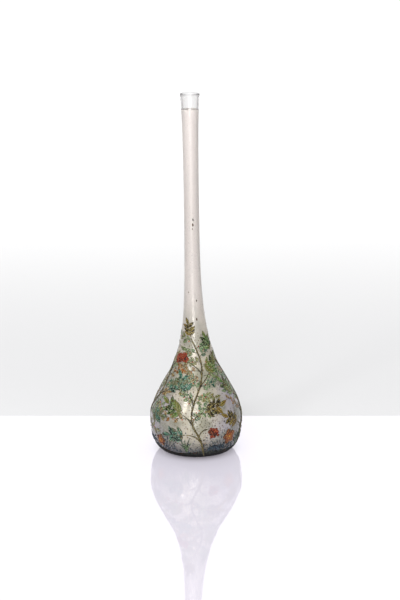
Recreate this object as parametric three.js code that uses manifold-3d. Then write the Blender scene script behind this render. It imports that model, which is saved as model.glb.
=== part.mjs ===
// A hand-blown bud vase: a clear inner gather of glass, a frosted outer casing fused over it,
// and fired enamel laid on the casing in low relief, as a mossy ground and four climbing sprigs.
// Millimetres, +Z up. The foot stands on Z = 0, the bulb turns about the Z axis, the front faces -Y.
import * as THREE from "three";
import { mergeVertices } from "three/addons/utils/BufferGeometryUtils.js";
import { TessellateModifier } from "three/addons/modifiers/TessellateModifier.js";
import Module from "manifold-3d";

const wasm = await Module();
wasm.setup();
const { degToRad, radToDeg, lerp } = THREE.MathUtils;

// The blown form
const height = 350;
const footRadius = 25;
const bellyRadius = 45;
const bellyHeight = 33;
const throatRadius = 20.8;
const throatHeight = 89;
const throatSlope = degToRad(18.7);
const waistRadius = 7.25;
const waistHeight = 242;
const rimRadius = 9.25;
const rimSlope = degToRad(4.4);

// How full each stretch of the outline is: the lengths of its curve handles
const heelFullness = 9;
const bellyFullnessBelow = 27;
const bellyFullnessAbove = 18;
const throatFullnessBelow = 10;
const throatFullnessAbove = 36;
const waistFullnessBelow = 92;
const waistFullnessAbove = 50;
const rimFullness = 25;

// The neck was drawn a little out of true: [height, how far its middle stands from the axis]
const neckSway = [
  [60, 0],
  [105, -1],
  [175, -3.3],
  [262, -4.6],
  [height, -5.9],
];

// Glass. The clearance is what is left between two layers, and between enamel and its neighbours.
const clearance = 0.3;
const casingThickness = 0.8;
const casingStart = 5;
const clearRimDepth = 14.5;
const bellyWall = 3.2;
const waistWall = 2.1;
const rimWall = 1.8;
const rimRounding = 0.5;
const floorThickness = 8;
const restingRingWidth = 8;
const kickUp = 2.6;
const pontilRadius = 7;

// How finely the glass is drawn: flats around it, and steps in each stretch of its outline
const flats = 28;
const heelSteps = 5;
const shoulderSteps = 6;
const neckSteps = 6;
const flareSteps = 3;
const swaySteps = 28;

// How thick each enamel lies, how deep it cuts its neighbours back, how far a straight edge of it may sink
// towards the glass, and how finely its round and long forms are drawn
const leafRelief = 0.9;
const stemRelief = 1.1;
const berryRelief = 1.3;
const petalRelief = 0.8;
const groundRelief = 0.8;
const mossRelief = 1.2;
const grassRelief = 0.7;
const cutDepth = 3;
const deepestSag = 0.2;
const tilingRounds = 8;
const ribbonStep = 5.5;
const domeSides = 8;
const petalSegments = 5;
const leafletSteps = 3;
const groundSteps = 4;

// The mossy ground round the foot, and the tufts and grass that stand on it
const groundStart = 2.4;
const groundHeight = 9;
const groundSwell = 2.4;
const groundWaves = [
  { around: 3, weight: 0.6, phase: 0 },
  { around: 5, weight: 0.4, phase: 1 },
];
const tuftRadii = [2.2, 3.1, 2.6, 3.4];
const tuftCloseness = 0.7;
const tuftStagger = 0.5;
const tuftHeight = 13;
const bladeLength = 18;
const shortBladeLength = 14.8;
const bladeWidth = 1.4;
const bladeLeans = [-24, -5, 14];
const bladeBend = { across: 0.2, up: 0.6 };

// Sprigs
const sprigHeight = 132;
const stemWidth = 1.9;
const twigWidth = 1.2;
const tipWidth = 0.8;
const twigCurl = 0.4;
const leafletLength = 7.4;
const leafletWidth = 4.5;
const leafletTaper = 0.8;
const leafletPairs = 3;
const leafletPitch = 4.3;
const leafletLean = 54;
const stalkLength = 3;
const stalkWidth = 1;
const berryRadius = 1.5;
const berryPitch = 2.5;
const berryRows = [3, 2, 1];
const petals = 5;
const petalLength = 7.4;
const petalWidth = 5.6;
const blossomEye = 1.7;

// A sprig is drawn on a field that is as wide as its degrees round the glass, and as high as the way from
// the ground (0) to the sprig's top (1). Each branch forks off at a share of the stem, ends at
// [degrees, way], and what it bears heads some degrees to the left of straight up.
const climbing = {
  stem: [[13, -0.06], [6, 0.1], [-5, 0.24], [-4, 0.37], [10, 0.54], [16, 0.69], [-8, 0.85]],
  branches: [
    { bears: "leaf", fork: 0.12, end: [-13, 0.15], heading: 96, size: 1.15, enamel: "teal" },
    { bears: "leaf", fork: 0.28, end: [-18, 0.3], heading: 62, size: 1.25, enamel: "green" },
    { bears: "leaf", fork: 0.45, end: [-13, 0.46], heading: 30, size: 1.1, enamel: "teal" },
    { bears: "leaf", fork: 0.3, end: [11, 0.32], heading: -74, size: 1.15, enamel: "olive" },
    { bears: "leaf", fork: 0.6, end: [31, 0.6], heading: -34, size: 1.05, enamel: "green" },
    { bears: "leaf", fork: 0.97, end: [-16, 0.88], heading: 14, size: 0.85, enamel: "olive" },
    { bears: "berries", fork: 0.2, end: [16, 0.19], heading: -125, size: 1.1 },
    { bears: "berries", fork: 0.7, end: [-22, 0.7], heading: 55, size: 1 },
  ],
  blossom: { middle: [46, 0.11], size: 1.1, heading: 20 },
  moss: 27,
  grass: -13,
};
const spreading = {
  stem: [[-10, -0.06], [-15, 0.11], [-3, 0.27], [16, 0.41], [12, 0.57], [-17, 0.7]],
  branches: [
    { bears: "leaf", fork: 0.2, end: [-25, 0.2], heading: 60, size: 1.05, enamel: "olive" },
    { bears: "leaf", fork: 0.44, end: [-8, 0.4], heading: 34, size: 1.2, enamel: "green" },
    { bears: "leaf", fork: 0.3, end: [14, 0.25], heading: -86, size: 1.1, enamel: "teal" },
    { bears: "leaf", fork: 0.6, end: [34, 0.46], heading: -44, size: 1.05, enamel: "teal" },
    { bears: "leaf", fork: 0.97, end: [-30, 0.77], heading: 12, size: 0.9, enamel: "green" },
    { bears: "berries", fork: 0.78, end: [22, 0.68], heading: -40, size: 1 },
  ],
  blossom: { middle: [36, 0.07], size: 0.9, heading: -12 },
  moss: 7,
  grass: -22,
};
const sprigs = {
  front: { design: climbing, azimuth: 0 },
  right: { design: spreading, azimuth: 88 },
  back: { design: climbing, azimuth: 180 },
  left: { design: spreading, azimuth: 272 },
};

const finishes = {
  clearGlass: finish(0xe6e8e6, 0.05),
  frostedGlass: finish(0xc6c0be, 0.5),
  ground: finish(0x565d54, 0.55),
  moss: finish(0x2c3d45, 0.6),
  grass: finish(0x4d5a3a, 0.5),
  stem: finish(0x6b5638, 0.5),
  teal: finish(0x3f7a6b, 0.4),
  green: finish(0x6d8a5c, 0.4),
  olive: finish(0x8d8440, 0.4),
  berry: finish(0xb03c1e, 0.3),
  amber: finish(0xb9712f, 0.35),
};

function finish(color, roughness) {
  return new THREE.MeshStandardMaterial({ color, roughness, metalness: 0 });
}

// Solids: a closed geometry becomes a solid that can be joined and cut, and back.
function solid(geometry) {
  const bare = geometry.clone();
  bare.deleteAttribute("normal");
  bare.deleteAttribute("uv");
  const merged = mergeVertices(bare);
  const mesh = new wasm.Mesh({
    numProp: 3,
    vertProperties: merged.attributes.position.array,
    triVerts: new Uint32Array(merged.index.array),
  });
  return new wasm.Manifold(mesh);
}

function geometryOf(made) {
  const { vertProperties, triVerts } = made.getMesh();
  const geometry = new THREE.BufferGeometry();
  geometry.setAttribute("position", new THREE.BufferAttribute(vertProperties, 3));
  geometry.setIndex(new THREE.BufferAttribute(triVerts, 1));
  return geometry.toNonIndexed();
}

const joined = (geometries) => geometryOf(geometries.map(solid).reduce((all, next) => all.add(next)));

// Moves every vertex of a geometry by a function of its place.
function reshaped(geometry, move) {
  const place = geometry.attributes.position;
  const at = new THREE.Vector3();
  for (let i = 0; i < place.count; i++) {
    at.fromBufferAttribute(place, i);
    const to = move(at);
    place.setXYZ(i, to.x, to.y, to.z);
  }
  return geometry;
}

// Reads a value off a list of [position, value] pairs that run upwards.
function along(pairs, position) {
  const next = pairs.findIndex(([p]) => p >= position);
  if (next < 0) return pairs.at(-1)[1];
  const [high, to] = pairs[next];
  const [low, from] = pairs[Math.max(next - 1, 0)];
  return next ? lerp(from, to, (position - low) / (high - low)) : to;
}

const swayCurve = new THREE.SplineCurve(neckSway.map(([z, x]) => new THREE.Vector2(z, x)));
const swayTable = swayCurve.getPoints(swaySteps).map(({ x, y }) => [x, y]);
const swayed = (geometry) => reshaped(geometry, (at) => at.setX(at.x + along(swayTable, at.z)));

// The outline: from the edge of the foot up to the rim, in four curves that run smoothly together
const spot = (r, z) => new THREE.Vector2(r, z);

function outline() {
  const climb = spot(-Math.sin(throatSlope), Math.cos(throatSlope));
  const flare = spot(Math.sin(rimSlope), Math.cos(rimSlope));
  const foot = spot(footRadius, 0);
  const heelTop = spot(bellyRadius, bellyHeight - bellyFullnessBelow);
  const belly = spot(bellyRadius, bellyHeight);
  const throat = spot(throatRadius, throatHeight);
  const waist = spot(waistRadius, waistHeight);
  const rim = spot(rimRadius, height);
  const heel = [foot, spot(footRadius + heelFullness, 0), heelTop, belly];
  const shoulder = [
    belly,
    spot(bellyRadius, bellyHeight + bellyFullnessAbove),
    throat.clone().addScaledVector(climb, -throatFullnessBelow),
    throat,
  ];
  const neck = [
    throat,
    throat.clone().addScaledVector(climb, throatFullnessAbove),
    spot(waistRadius, waistHeight - waistFullnessBelow),
    waist,
  ];
  const mouth = [
    waist,
    spot(waistRadius, waistHeight + waistFullnessAbove),
    rim.clone().addScaledVector(flare, -rimFullness),
    rim,
  ];
  const steps = [heelSteps, shoulderSteps, neckSteps, flareSteps];
  return [heel, shoulder, neck, mouth].flatMap((handles, i) =>
    new THREE.CubicBezierCurve(...handles).getPoints(steps[i]).slice(i ? 1 : 0),
  );
}

// Puts a point of the outline exactly at a height where one glass ends on another.
function withStation(points, z) {
  const radii = points.map((p) => [p.y, p.x]);
  const kept = points.filter((p) => Math.abs(p.y - z) > clearance);
  return [...kept, spot(along(radii, z), z)].sort((a, b) => a.y - b.y);
}

const casingEnd = height - clearRimDepth;
const skin = withStation(withStation(outline(), casingStart), casingEnd);

// Straight out of the glass at each point of the outline
const outward = skin.map((_, i) => {
  const run = skin[Math.min(i + 1, skin.length - 1)].clone().sub(skin[Math.max(i - 1, 0)]).normalize();
  return i ? spot(run.y, -run.x) : spot(0, -1);
});

// The skin unrolled: every point of it is a length up the outline and an azimuth in degrees from the front.
const lengths = skin.reduce((all, p, i) => [...all, i ? all[i - 1] + p.distanceTo(skin[i - 1]) : 0], []);
const byLength = (values) => values.map((value, i) => [lengths[i], value]);
const radiusAlong = byLength(skin.map((p) => p.x));
const heightAlong = byLength(skin.map((p) => p.y));
const outAlong = byLength(outward.map((n) => n.x));
const upAlong = byLength(outward.map((n) => n.y));
const lengthAt = (z) => along(skin.map((p, i) => [p.y, lengths[i]]), z);

// The point of the outline at a length up it, raised off the glass or, below zero, sunk into it
function raised(length, off) {
  const r = along(radiusAlong, length) + along(outAlong, length) * off;
  const z = along(heightAlong, length) + along(upAlong, length) * off;
  return spot(r, z);
}

function onGlass(azimuth, length, off) {
  const { x: r, y: z } = raised(length, off);
  return new THREE.Vector3(r * Math.sin(degToRad(azimuth)), -r * Math.cos(degToRad(azimuth)), z);
}

// The glass: profiles turned about the axis
const turned = (profile, around = flats) => new THREE.LatheGeometry(profile, around).rotateX(Math.PI / 2);

function gather() {
  const wall = [
    [0, floorThickness],
    [bellyHeight, bellyWall],
    [waistHeight, waistWall],
    [height, rimWall],
  ];
  const start = lengthAt(casingStart);
  const end = lengthAt(casingEnd);
  const under = lengths.filter((l) => l >= start && l <= end);
  const seatDepth = casingThickness + clearance;
  const walled = skin.filter((p) => p.y > casingStart && p.y < height).reverse();
  const inside = walled.map((p) => raised(lengthAt(p.y), -along(wall, p.y)));
  const profile = [
    spot(0, kickUp),
    spot(pontilRadius, kickUp),
    spot(footRadius - restingRingWidth, 0),
    ...skin.filter((p) => p.y <= casingStart),
    ...under.map((l) => raised(l, -seatDepth)),
    ...skin.filter((p) => p.y >= casingEnd && p.y < height),
    spot(rimRadius, height - rimRounding),
    spot(rimRadius - rimRounding, height),
    spot(rimRadius - rimWall + rimRounding, height),
    spot(rimRadius - rimWall, height - rimRounding),
    ...inside,
    spot(footRadius, floorThickness),
    spot(0, kickUp + floorThickness),
  ];
  return turned(profile);
}

function casing() {
  const start = lengthAt(casingStart) + clearance;
  const end = lengthAt(casingEnd) - clearance;
  const between = lengths.filter((l) => l > start && l < end);
  const covered = [start, ...between, end];
  const outside = covered.map((l) => raised(l, 0));
  const inside = covered.map((l) => raised(l, -casingThickness)).reverse();
  return turned([...outside, ...inside, outside[0]]);
}

// Enamel is drawn flat, with X to the right, Y up and Z off the glass, as a slab of its own relief.
// Grown by a clearance and made deep, the same drawing cuts its neighbours free.
function slab(shape, relief, grow) {
  const depth = grow ? cutDepth : relief;
  const flat = new THREE.ExtrudeGeometry(shape, { depth, bevelEnabled: false, curveSegments: petalSegments });
  return flat.translate(0, 0, grow ? -cutDepth / 2 : 0);
}

function dome(radius, relief, grow) {
  const tall = grow ? cutDepth : relief;
  const eighth = degToRad(45);
  const shoulder = grow ? spot(radius, tall) : spot(radius * Math.cos(eighth), tall * Math.sin(eighth));
  const profile = [spot(0, 0), spot(radius, 0), shoulder, spot(0, tall)];
  return turned(profile, domeSides).translate(0, 0, grow ? -cutDepth / 2 : 0);
}

function ribbon(curve, { width, endWidth, share = 1, relief }, grow) {
  const steps = Math.ceil((curve.getLength() * share) / ribbonStep);
  const shares = Array.from({ length: steps + 1 }, (_, i) => (i / steps) * share);
  const edge = (side) =>
    shares.map((u, i) => {
      const run = curve.getTangentAt(u);
      const half = lerp(width, endWidth, i / steps) / 2 + grow;
      const past = i === 0 ? -grow : i === steps ? grow : 0;
      const square = spot(-run.y, run.x);
      return curve.getPointAt(u).addScaledVector(run, past).addScaledVector(square, side * half);
    });
  return slab(new THREE.Shape([...edge(-1), ...edge(1).reverse()]), relief, grow);
}

function leaflet(size, grow) {
  const long = leafletLength * size + grow;
  const side = Array.from({ length: leafletSteps }, (_, i) => {
    const share = i / leafletSteps;
    const wide = lerp(stalkWidth, leafletWidth, Math.sin(Math.PI * share ** leafletTaper)) * size;
    return spot(wide / 2 + grow, long * share);
  });
  const mirrored = side.map((p) => spot(-p.x, p.y)).reverse();
  return slab(new THREE.Shape([...side, spot(0, long), ...mirrored]), leafRelief, grow);
}

// A feathered leaf: leaflets in pairs along a stalk, and one at its tip
function leaf(size, grow = 0) {
  const pairs = Array.from({ length: leafletPairs }, (_, i) => (stalkLength + i * leafletPitch) * size);
  const tip = (stalkLength + leafletPairs * leafletPitch) * size;
  const stalk = new THREE.LineCurve(spot(0, 0), spot(0, tip));
  const leaflets = pairs.flatMap((y) =>
    [-1, 1].map((side) => leaflet(size, grow).rotateZ(degToRad(side * leafletLean)).translate(0, y, 0)),
  );
  const width = stalkWidth * size;
  return joined([
    ribbon(stalk, { width, endWidth: width, relief: leafRelief }, grow),
    ...leaflets,
    leaflet(size, grow).translate(0, tip - stalkWidth, 0),
  ]);
}

// A bunch of berries in rows, each row nested in the one below
function berries(size, grow = 0) {
  const pitch = berryPitch * size;
  const rowPitch = pitch * Math.sin(degToRad(60));
  const bunch = berryRows.flatMap((count, row) =>
    Array.from({ length: count }, (_, i) => {
      const berry = dome(berryRadius * size + grow, berryRelief, grow);
      return berry.translate((i - (count - 1) / 2) * pitch, row * rowPitch + berryRadius, 0);
    }),
  );
  return joined(bunch);
}

function blossom(size, grow = 0) {
  const petal = new THREE.Shape();
  const long = (petalLength * size) / 2 + grow;
  petal.absellipse(0, long - grow, (petalWidth * size) / 2 + grow, long, 0, 2 * Math.PI);
  const ring = Array.from({ length: petals }, (_, i) =>
    slab(petal, petalRelief, grow).rotateZ((i / petals) * 2 * Math.PI),
  );
  return joined([dome(blossomEye * size + grow, berryRelief, grow), ...ring]);
}

// A tuft of moss: a row of low mounds that run into each other
function tuft(grow = 0) {
  const step = (i) => tuftCloseness * (tuftRadii[i] + tuftRadii[i - 1]);
  const middles = tuftRadii.reduce((all, _, i) => [...all, i ? all[i - 1] + step(i) : 0], []);
  const half = middles.at(-1) / 2;
  const mounds = tuftRadii.map((r, i) =>
    dome(r + grow, mossRelief, grow).translate(middles[i] - half, (i % 2) * r * tuftStagger, 0),
  );
  return joined(mounds);
}

function grass(grow = 0) {
  const blades = bladeLeans.map((lean, i) => {
    const long = i % 2 ? shortBladeLength : bladeLength;
    const tip = spot(long * Math.sin(degToRad(lean)), long * Math.cos(degToRad(lean)));
    const bend = spot(tip.x * bladeBend.across, tip.y * bladeBend.up);
    const curve = new THREE.QuadraticBezierCurve(spot(0, 0), bend, tip);
    return ribbon(curve, { width: bladeWidth, endWidth: tipWidth / 2, relief: grassRelief }, grow);
  });
  return joined(blades);
}

// Lays a flat drawing on the glass at an azimuth and a length up the outline, turned about its own middle.
function laid(drawing, { azimuth, length, turn = 0 }) {
  const longestEdge = Math.sqrt(8 * deepestSag * along(radiusAlong, length));
  const tiled = new TessellateModifier(longestEdge, tilingRounds).modify(drawing.rotateZ(degToRad(turn)));
  return reshaped(tiled, (at) => {
    const up = length + at.y;
    const round = radToDeg(at.x / along(radiusAlong, up));
    return onGlass(azimuth + round, up, clearance + at.z);
  });
}

// The mossy ground: a ring laid on the heel, whose upper edge rises and falls
function ground(grow = 0) {
  const core = 10;
  const thick = grow ? cutDepth : groundRelief;
  const base = grow ? core - cutDepth / 2 : core;
  const shares = Array.from({ length: groundSteps + 1 }, (_, i) => i / groundSteps);
  const outside = shares.map((share) => spot(base + thick, share));
  const inside = shares.map((share) => spot(base, share)).reverse();
  const ring = turned([...outside, ...inside, outside[0]]);
  return reshaped(ring, (at) => {
    const azimuth = Math.atan2(at.x, -at.y);
    const waves = groundWaves.map(({ around, weight, phase }) => weight * Math.sin(around * azimuth + phase));
    const swell = groundSwell * waves.reduce((sum, wave) => sum + wave);
    const low = lengthAt(groundStart) - grow;
    const high = lengthAt(groundHeight) + swell + grow;
    return onGlass(radToDeg(azimuth), lerp(low, high, at.z), clearance + Math.hypot(at.x, at.y) - core);
  });
}

// Each deposit is cut free of those laid before it. Where that leaves crumbs, its largest body is the piece.
const cutters = [];

function deposit(name, material, drawn) {
  const whole = cutters.reduce((rest, cutter) => rest.subtract(cutter), solid(drawn(0)));
  const piece = whole.decompose().sort((a, b) => b.volume() - a.volume())[0];
  cutters.push(solid(drawn(clearance)));
  return named(name, swayed(geometryOf(piece)), material);
}

function named(name, geometry, material) {
  geometry.computeVertexNormals();
  const mesh = new THREE.Mesh(geometry, material);
  mesh.name = name;
  return mesh;
}

// The field that a sprig is drawn on
const fieldStart = lengthAt(groundHeight);
const fieldHeight = lengthAt(sprigHeight) - fieldStart;
const wayUp = (way) => fieldStart + way * fieldHeight;

function flattened([degrees, way]) {
  const radius = along(radiusAlong, wayUp(way));
  return spot(degToRad(degrees) * radius, way * fieldHeight);
}

function twigCurve(stem, { fork, end, heading }) {
  const from = stem.getPointAt(fork);
  const to = flattened(end);
  const pull = from.distanceTo(to) * twigCurl;
  const arriving = spot(-Math.sin(degToRad(heading)), Math.cos(degToRad(heading)));
  const leaving = from.clone().addScaledVector(stem.getTangentAt(fork), pull);
  return new THREE.CubicBezierCurve(from, leaving, to.clone().addScaledVector(arriving, -pull), to);
}

function stems(design, grow) {
  const stem = new THREE.SplineCurve(design.stem.map(flattened));
  const twigs = design.branches.map((branch) => {
    const curve = twigCurve(stem, branch);
    const share = 1 - clearance / curve.getLength();
    return ribbon(curve, { width: twigWidth, endWidth: tipWidth, share, relief: stemRelief }, grow);
  });
  const trunk = ribbon(stem, { width: stemWidth, endWidth: twigWidth, relief: stemRelief }, grow);
  return joined([trunk, ...twigs]);
}

function stemsOf(side, { design, azimuth }) {
  const drawn = (grow) => laid(stems(design, grow), { azimuth, length: fieldStart });
  return deposit(side + "_stem", finishes.stem, drawn);
}

// Berries are laid before the leaves, so that the leaves close round them.
function fruitOf(side, { design, azimuth }) {
  const drawings = { berries, leaf };
  const counts = { berries: 0, leaf: 0 };
  const order = design.branches.toSorted((a, b) => a.bears.localeCompare(b.bears));
  return order.map(({ bears, end, heading, size, enamel = "berry" }) => {
    const place = { azimuth: azimuth + end[0], length: wayUp(end[1]), turn: heading };
    counts[bears] += 1;
    const drawn = (grow) => laid(drawings[bears](size, grow), place);
    return deposit(`${side}_${bears}_${counts[bears]}`, finishes[enamel], drawn);
  });
}

function blossomOf(side, { design, azimuth }) {
  const { middle: [degrees, way], size, heading } = design.blossom;
  const place = { azimuth: azimuth + degrees, length: wayUp(way), turn: heading };
  return deposit(side + "_blossom", finishes.amber, (grow) => laid(blossom(size, grow), place));
}

function growthOf(side, { design, azimuth }) {
  const mossPlace = { azimuth: azimuth + design.moss, length: lengthAt(tuftHeight) };
  const grassPlace = { azimuth: azimuth + design.grass, length: lengthAt(groundHeight) };
  return [
    deposit(side + "_moss", finishes.moss, (grow) => laid(tuft(grow), mossPlace)),
    deposit(side + "_grass", finishes.grass, (grow) => laid(grass(grow), grassPlace)),
  ];
}

const onEachSide = (make) => Object.entries(sprigs).flatMap(([side, sprig]) => make(side, sprig));

const glass = new THREE.Group();
glass.add(named("clear_gather", swayed(gather()), finishes.clearGlass));
glass.add(named("frosted_casing", swayed(casing()), finishes.frostedGlass));

const enamel = new THREE.Group();
enamel.add(deposit("ground_band", finishes.ground, ground));
enamel.add(...onEachSide(stemsOf));
enamel.add(...onEachSide(blossomOf));
enamel.add(...onEachSide(growthOf));
enamel.add(...onEachSide(fruitOf));

const vase = new THREE.Group();
vase.add(glass, enamel);

export default vase;
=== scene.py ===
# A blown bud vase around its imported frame: clear glass, a frosted skin and fired enamel in low relief.
# Metres, +Z up, the front faces -Y. The vase is rigid, so every piece rides on the body root.
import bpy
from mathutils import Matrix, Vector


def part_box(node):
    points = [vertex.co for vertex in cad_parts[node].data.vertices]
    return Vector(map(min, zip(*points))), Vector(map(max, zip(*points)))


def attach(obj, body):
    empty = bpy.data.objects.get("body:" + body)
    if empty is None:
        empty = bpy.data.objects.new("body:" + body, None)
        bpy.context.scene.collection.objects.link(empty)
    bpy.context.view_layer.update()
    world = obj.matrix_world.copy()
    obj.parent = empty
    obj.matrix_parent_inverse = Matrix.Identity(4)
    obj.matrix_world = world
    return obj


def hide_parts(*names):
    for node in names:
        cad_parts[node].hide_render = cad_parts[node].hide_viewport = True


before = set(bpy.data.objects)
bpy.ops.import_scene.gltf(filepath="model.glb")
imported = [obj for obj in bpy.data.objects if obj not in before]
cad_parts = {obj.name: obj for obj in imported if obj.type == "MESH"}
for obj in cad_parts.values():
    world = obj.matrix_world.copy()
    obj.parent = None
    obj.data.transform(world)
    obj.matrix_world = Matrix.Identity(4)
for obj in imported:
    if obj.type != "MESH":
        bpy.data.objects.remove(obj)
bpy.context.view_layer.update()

import math
import random

import bmesh
import bpy
import numpy as np
from mathutils import Vector, noise
from mathutils.geometry import interpolate_bezier

mm = 0.001
scene = bpy.context.scene


# Shader maths as Python: a Flow is one output of a node, and sums and products of flows add Math nodes.
class Flow:
    def __init__(self, tree, socket):
        self.tree = tree
        self.socket = socket

    def out(self, name):
        return Flow(self.tree, self.socket.node.outputs[name])

    def math(self, operation, *others):
        inputs = dict(enumerate([self, *others]))
        return addNode(self.tree, "ShaderNodeMath", {"operation": operation}, inputs)

    def __add__(self, other):
        return self.math("ADD", other)

    __radd__ = __add__

    def __sub__(self, other):
        return self.math("SUBTRACT", other)

    def __rsub__(self, other):
        return self.math("MULTIPLY", -1) + other

    def __mul__(self, other):
        return self.math("MULTIPLY", other)

    __rmul__ = __mul__


# Any node: its type, its settings (set first), and values or flows for its sockets by name or index.
def addNode(tree, kind, settings=None, inputs=None, output=0):
    node = tree.nodes.new(kind)
    for name, value in (settings or {}).items():
        if name == "stops":
            ramp = node.color_ramp.elements
            while len(ramp) < len(value):
                ramp.new(0.5)
            for element, (position, colour) in zip(ramp, value):
                element.position = position
                element.color = (*colour, 1)
        else:
            setattr(node, name, value)
    for name, value in (inputs or {}).items():
        if isinstance(value, Flow):
            tree.links.new(value.socket, node.inputs[name])
        else:
            node.inputs[name].default_value = value
    return Flow(tree, node.outputs[output]) if node.outputs else None


def srgb(code):
    channels = [int(code[i:i + 2], 16) / 255 for i in (0, 2, 4)]
    return tuple(c / 12.92 if c <= 0.04045 else ((c + 0.055) / 1.055) ** 2.4 for c in channels)


def newMaterial(name):
    material = bpy.data.materials.new(name)
    material.use_nodes = True
    material.node_tree.nodes.clear()
    return material, material.node_tree


def place(tree):
    return addNode(tree, "ShaderNodeTexCoord", output="Object")


def axisOf(at, name):
    return addNode(at.tree, "ShaderNodeSeparateXYZ", {}, {0: at}).out(name)


# The layers that a drawing keeps at its points
def drawn(tree, *layers):
    kind = "ShaderNodeAttribute"
    return [addNode(tree, kind, {"attribute_name": layer}, output="Fac") for layer in layers]


def cloud(tree, at, scale, detail=3, roughness=0.55):
    inputs = {"Vector": at, "Scale": scale, "Detail": detail, "Roughness": roughness}
    return addNode(tree, "ShaderNodeTexNoise", {}, inputs)


def cells(tree, at, scale):
    return addNode(tree, "ShaderNodeTexVoronoi", {}, {"Vector": at, "Scale": scale})


def ranged(flow, low, high, to=(0, 1)):
    settings = {"interpolation_type": "SMOOTHSTEP"}
    inputs = {"Value": flow, "From Min": low, "From Max": high, "To Min": to[0], "To Max": to[1]}
    return addNode(flow.tree, "ShaderNodeMapRange", settings, inputs)


# Takes a cloud from its usual spread to a range
def spreadTo(flow, to):
    return ranged(flow, 0.3, 0.7, to)


def mixed(share, first, second):
    colours = [c if isinstance(c, Flow) else (*c, 1) for c in (first, second)]
    inputs = {0: share, 6: colours[0], 7: colours[1]}
    return addNode(share.tree, "ShaderNodeMix", {"data_type": "RGBA"}, inputs, output=2)


# A wash laid over a colour: its own colour, and how strong it is
def washed(colour, share, wash):
    code, strength = wash
    return mixed(share * strength, colour, srgb(code))


def bumped(height, distance, strength=1):
    inputs = {"Height": height, "Distance": distance, "Strength": strength}
    return addNode(height.tree, "ShaderNodeBump", {}, inputs)


# Closes a material: its surface, a second that a share mixes in, and an inner colour with its density
def surfaced(material, inputs, inner=None, share=None, second=None):
    tree = material.node_tree
    ends = {"Surface": addNode(tree, "ShaderNodeBsdfPrincipled", {}, inputs)}
    if second:
        other = addNode(tree, "ShaderNodeBsdfPrincipled", {}, second)
        pair = {0: share, 1: ends["Surface"], 2: other}
        ends["Surface"] = addNode(tree, "ShaderNodeMixShader", {}, pair)
    if inner:
        code, density = inner
        absorbed = {"Color": (*srgb(code), 1), "Density": density}
        ends["Volume"] = addNode(tree, "ShaderNodeVolumeAbsorption", {}, absorbed)
    addNode(tree, "ShaderNodeOutputMaterial", {}, ends)
    return material


# The blown form, as the frame's solids have it: an outline of four curves, and a neck drawn out of true
vase = {
    "height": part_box("clear_gather")[1].z,
    "foot": 25 * mm,
    "belly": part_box("frosted_casing")[1].y,
    "bellyHeight": 33 * mm,
    "throat": 20.8 * mm,
    "throatHeight": 89 * mm,
    "throatSlope": 18.7,
    "waist": 7.25 * mm,
    "waistHeight": 242 * mm,
    "rim": 9.25 * mm,
    "rimSlope": 4.4,
    "heelFullness": 9 * mm,
    "bellyFullness": (27 * mm, 18 * mm),
    "throatFullness": (10 * mm, 36 * mm),
    "waistFullness": (92 * mm, 50 * mm),
    "rimFullness": 25 * mm,
    "stepsPerCurve": 28,
    "sway": [(60, 0), (105, -1), (175, -3.3), (262, -4.6), (350, -5.9)],  # heights and shifts in mm
    "swaySteps": 12,
}


# A direction that leans outwards from upright
def leaning(degrees):
    return Vector((math.sin(math.radians(degrees)), math.cos(math.radians(degrees))))


def outline():
    v = vase
    climb = leaning(-v["throatSlope"])
    flare = leaning(v["rimSlope"])
    foot = Vector((v["foot"], 0))
    belly = Vector((v["belly"], v["bellyHeight"]))
    throat = Vector((v["throat"], v["throatHeight"]))
    waist = Vector((v["waist"], v["waistHeight"]))
    rim = Vector((v["rim"], v["height"]))
    up = Vector((0, 1))
    curves = [
        (foot, foot + Vector((v["heelFullness"], 0)), belly - up * v["bellyFullness"][0], belly),
        (belly, belly + up * v["bellyFullness"][1], throat - climb * v["throatFullness"][0], throat),
        (throat, throat + climb * v["throatFullness"][1], waist - up * v["waistFullness"][0], waist),
        (waist, waist + up * v["waistFullness"][1], rim - flare * v["rimFullness"], rim),
    ]
    points = [foot]
    for handles in curves:
        points += interpolate_bezier(*handles, v["stepsPerCurve"] + 1)[1:]
    return np.array(points)


def directionsAlong(points):
    runs = np.gradient(points, axis=0)
    return runs / np.linalg.norm(runs, axis=1)[:, None]


def lengthsAlong(points):
    return np.concatenate([[0], np.cumsum(np.linalg.norm(np.diff(points, axis=0), axis=1))])


skin = outline()
skinRuns = directionsAlong(skin)
skinOut = np.stack([skinRuns[:, 1], -skinRuns[:, 0]], 1)
skinLengths = lengthsAlong(skin)


def lengthAt(z):
    return float(np.interp(z, skin[:, 1], skinLengths))


def radiusAt(length):
    return np.interp(length, skinLengths, skin[:, 0])


# A point of the outline at a length up it, raised off the glass or, below zero, sunk into it
def raised(length, off):
    r = radiusAt(length) + np.interp(length, skinLengths, skinOut[:, 0]) * off
    z = np.interp(length, skinLengths, skin[:, 1]) + np.interp(length, skinLengths, skinOut[:, 1]) * off
    return r, z


# How far the neck's middle stands from the axis: a smooth curve through the points of the sway
def swayAt(z):
    points = np.array(vase["sway"]) * mm
    ends = np.vstack([points[0], points, points[-1]])
    curve = []
    for p0, p1, p2, p3 in zip(ends, ends[1:], ends[2:], ends[3:]):
        for t in np.linspace(0, 1, vase["swaySteps"], endpoint=False):
            bend = (2 * p0 - 5 * p1 + 4 * p2 - p3) * t ** 2 + (3 * p1 - p0 - 3 * p2 + p3) * t ** 3
            curve.append(p1 + ((p2 - p0) * t + bend) / 2)
    curve = np.array([*curve, points[-1]])
    return np.interp(z, curve[:, 0], curve[:, 1])


def aroundAxis(r, azimuth, z):
    return np.stack([r * np.sin(azimuth), -r * np.cos(azimuth), z], 1)


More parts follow.
